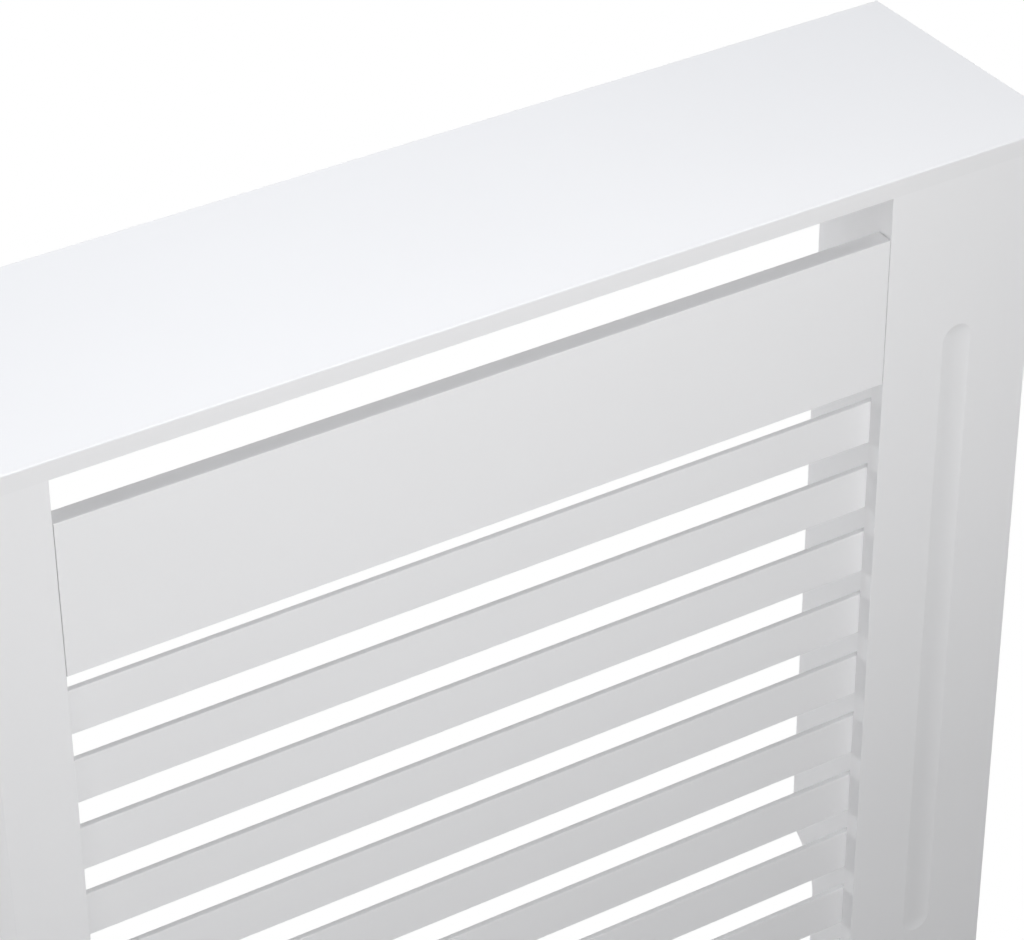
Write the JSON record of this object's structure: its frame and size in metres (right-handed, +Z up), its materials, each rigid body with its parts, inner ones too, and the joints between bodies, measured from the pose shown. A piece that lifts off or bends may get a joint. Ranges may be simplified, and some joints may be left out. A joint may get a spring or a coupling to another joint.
{
  "type": "radiator cover cabinet",
  "caption": "White painted board cabinet that stands over a radiator, with a slatted grille, a vent slot, fluted front stiles and a skirting notch.",
  "frame": {"origin": "on the floor, in the middle of the cabinet's width and depth", "axes": "+Z up, +Y back to the wall (the slatted front faces -Y), +X to the cabinet's right seen from the front"},
  "size_m": [0.796, 0.19, 0.814],
  "materials": {
    "white_board": "satin white paint on medium density fibreboard",
    "beech": "plain turned beech",
    "zinc_plate": "bright zinc plate",
    "zinc_casting": "dull zinc alloy casting",
    "galvanised_wire": "galvanised wire"
  },
  "bodies": {
    "root": {"top_board": "white_board", "left_stile": "white_board", "right_stile": "white_board", "left_side_panel": "white_board", "right_side_panel": "white_board", "upper_rail": "white_board", "lower_rail": "white_board", "slat_01": "white_board", "slat_02": "white_board", "slat_03": "white_board", "slat_04": "white_board", "slat_05": "white_board", "slat_06": "white_board", "slat_07": "white_board", "slat_08": "white_board", "slat_09": "white_board", "slat_10": "white_board", "slat_11": "white_board", "slat_staples": "galvanised_wire", "rail_dowels": "beech", "top_dowels": "beech", "side_dowels": "beech", "cam_bolts": "zinc_plate", "cam_nuts": "zinc_casting", "left_wall_bracket": "zinc_plate", "right_wall_bracket": "zinc_plate", "bracket_screws": "zinc_plate"}
  },
  "joints": []
}
